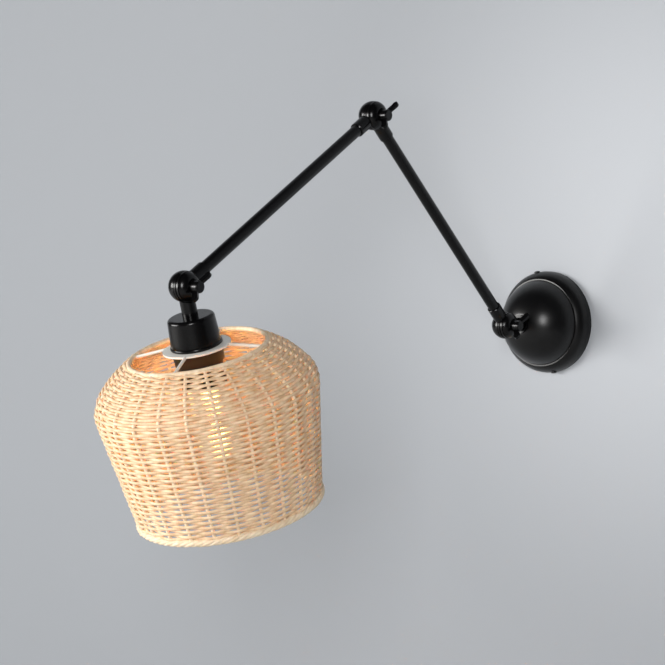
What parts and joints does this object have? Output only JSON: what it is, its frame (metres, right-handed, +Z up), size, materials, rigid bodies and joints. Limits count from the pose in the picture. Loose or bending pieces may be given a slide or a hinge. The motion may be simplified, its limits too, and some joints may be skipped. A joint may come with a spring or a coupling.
{
  "type": "articulating wall lamp",
  "caption": "Wall lamp with a domed canopy, two tubular arms on ball-shaped wing-screw joints, and a tilting lampholder with a woven shade.",
  "frame": {"origin": "centre of the wall strap's screw pattern, on the wall plane", "axes": "+Y into the wall, +Z up, +X right for someone facing the wall; the joint axes run along X and the lamp reaches out along -Y"},
  "size_m": [0.1908, 0.585, 0.3653],
  "materials": {
    "black_metal": "satin black paint",
    "zinc_steel": "zinc plated",
    "black_screw": "black",
    "friction_disc": "matt fibre",
    "cable_sheath": "smooth sheath",
    "block_plastic": "natural white",
    "black_plastic": "fine matt",
    "ceramic": "glazed white",
    "brass": "plain",
    "cap_metal": "nickel plated",
    "bulb_glass": "clear, warm",
    "filament": "glowing",
    "white_metal": "white paint",
    "wicker": "natural cane"
  },
  "bodies": {
    "wall_base": {"canopy": "black_metal", "wall_strap": "zinc_steel", "canopy_screw_upper": "black_screw", "canopy_screw_lower": "black_screw", "earth_screw": "zinc_steel", "terminal_block": "block_plastic", "base_knuckle": "black_metal", "canopy_collar": "black_metal", "canopy_lock_washer": "zinc_steel", "canopy_nut": "zinc_steel", "base_friction_washer": "friction_disc"},
    "base_wing": {"base_wing_screw": "black_metal"},
    "lower_arm": {"lower_arm_foot_knuckle": "black_metal", "lower_arm_head_knuckle": "black_metal", "lower_arm_tube": "black_metal", "lower_arm_cable": "cable_sheath", "elbow_friction_washer": "friction_disc"},
    "elbow_wing": {"elbow_wing_screw": "black_metal"},
    "upper_arm": {"upper_arm_foot_knuckle": "black_metal", "upper_arm_head_knuckle": "black_metal", "upper_arm_tube": "black_metal", "upper_arm_cable": "cable_sheath", "head_friction_washer": "friction_disc"},
    "head_wing": {"head_wing_screw": "black_metal"},
    "head": {"head_knuckle": "black_metal", "cup_nut": "zinc_steel", "lamp_cup": "black_metal", "lampholder_body": "black_plastic", "contact_block": "ceramic", "centre_contact": "brass", "screw_shell": "brass", "retaining_ring": "black_plastic", "bulb_cap": "cap_metal", "bulb_glass": "bulb_glass", "bulb_stem": "bulb_glass", "bulb_filaments": "filament", "shade_carrier": "white_metal", "shade_top_rim": "wicker", "shade_border": "wicker", "shade_wall": "wicker", "shade_stakes": "wicker"}
  },
  "joints": [
    {"name": "base_hinge", "type": "hinge", "parent": "wall_base", "child": "lower_arm", "pos_m": [0, -0.0742, 0], "axis": [1, 0, 0], "range_deg": [-40, 50]},
    {"name": "elbow_hinge", "type": "hinge", "parent": "lower_arm", "child": "upper_arm", "pos_m": [0, -0.27716, 0.19579], "axis": [1, 0, 0], "range_deg": [-70, 38]},
    {"name": "head_hinge", "type": "hinge", "parent": "upper_arm", "child": "head", "pos_m": [0, -0.51971, 0.05194], "axis": [1, 0, 0], "range_deg": [-75, 40]},
    {"name": "base_wing_turn", "type": "hinge", "parent": "lower_arm", "child": "base_wing", "pos_m": [0, -0.0742, 0], "axis": [1, 0, 0], "range_deg": [-30, 330]},
    {"name": "elbow_wing_turn", "type": "hinge", "parent": "upper_arm", "child": "elbow_wing", "pos_m": [0, -0.27716, 0.19579], "axis": [1, 0, 0], "range_deg": [-30, 330]},
    {"name": "head_wing_turn", "type": "hinge", "parent": "head", "child": "head_wing", "pos_m": [0, -0.51971, 0.05194], "axis": [1, 0, 0], "range_deg": [-30, 330]}
  ]
}
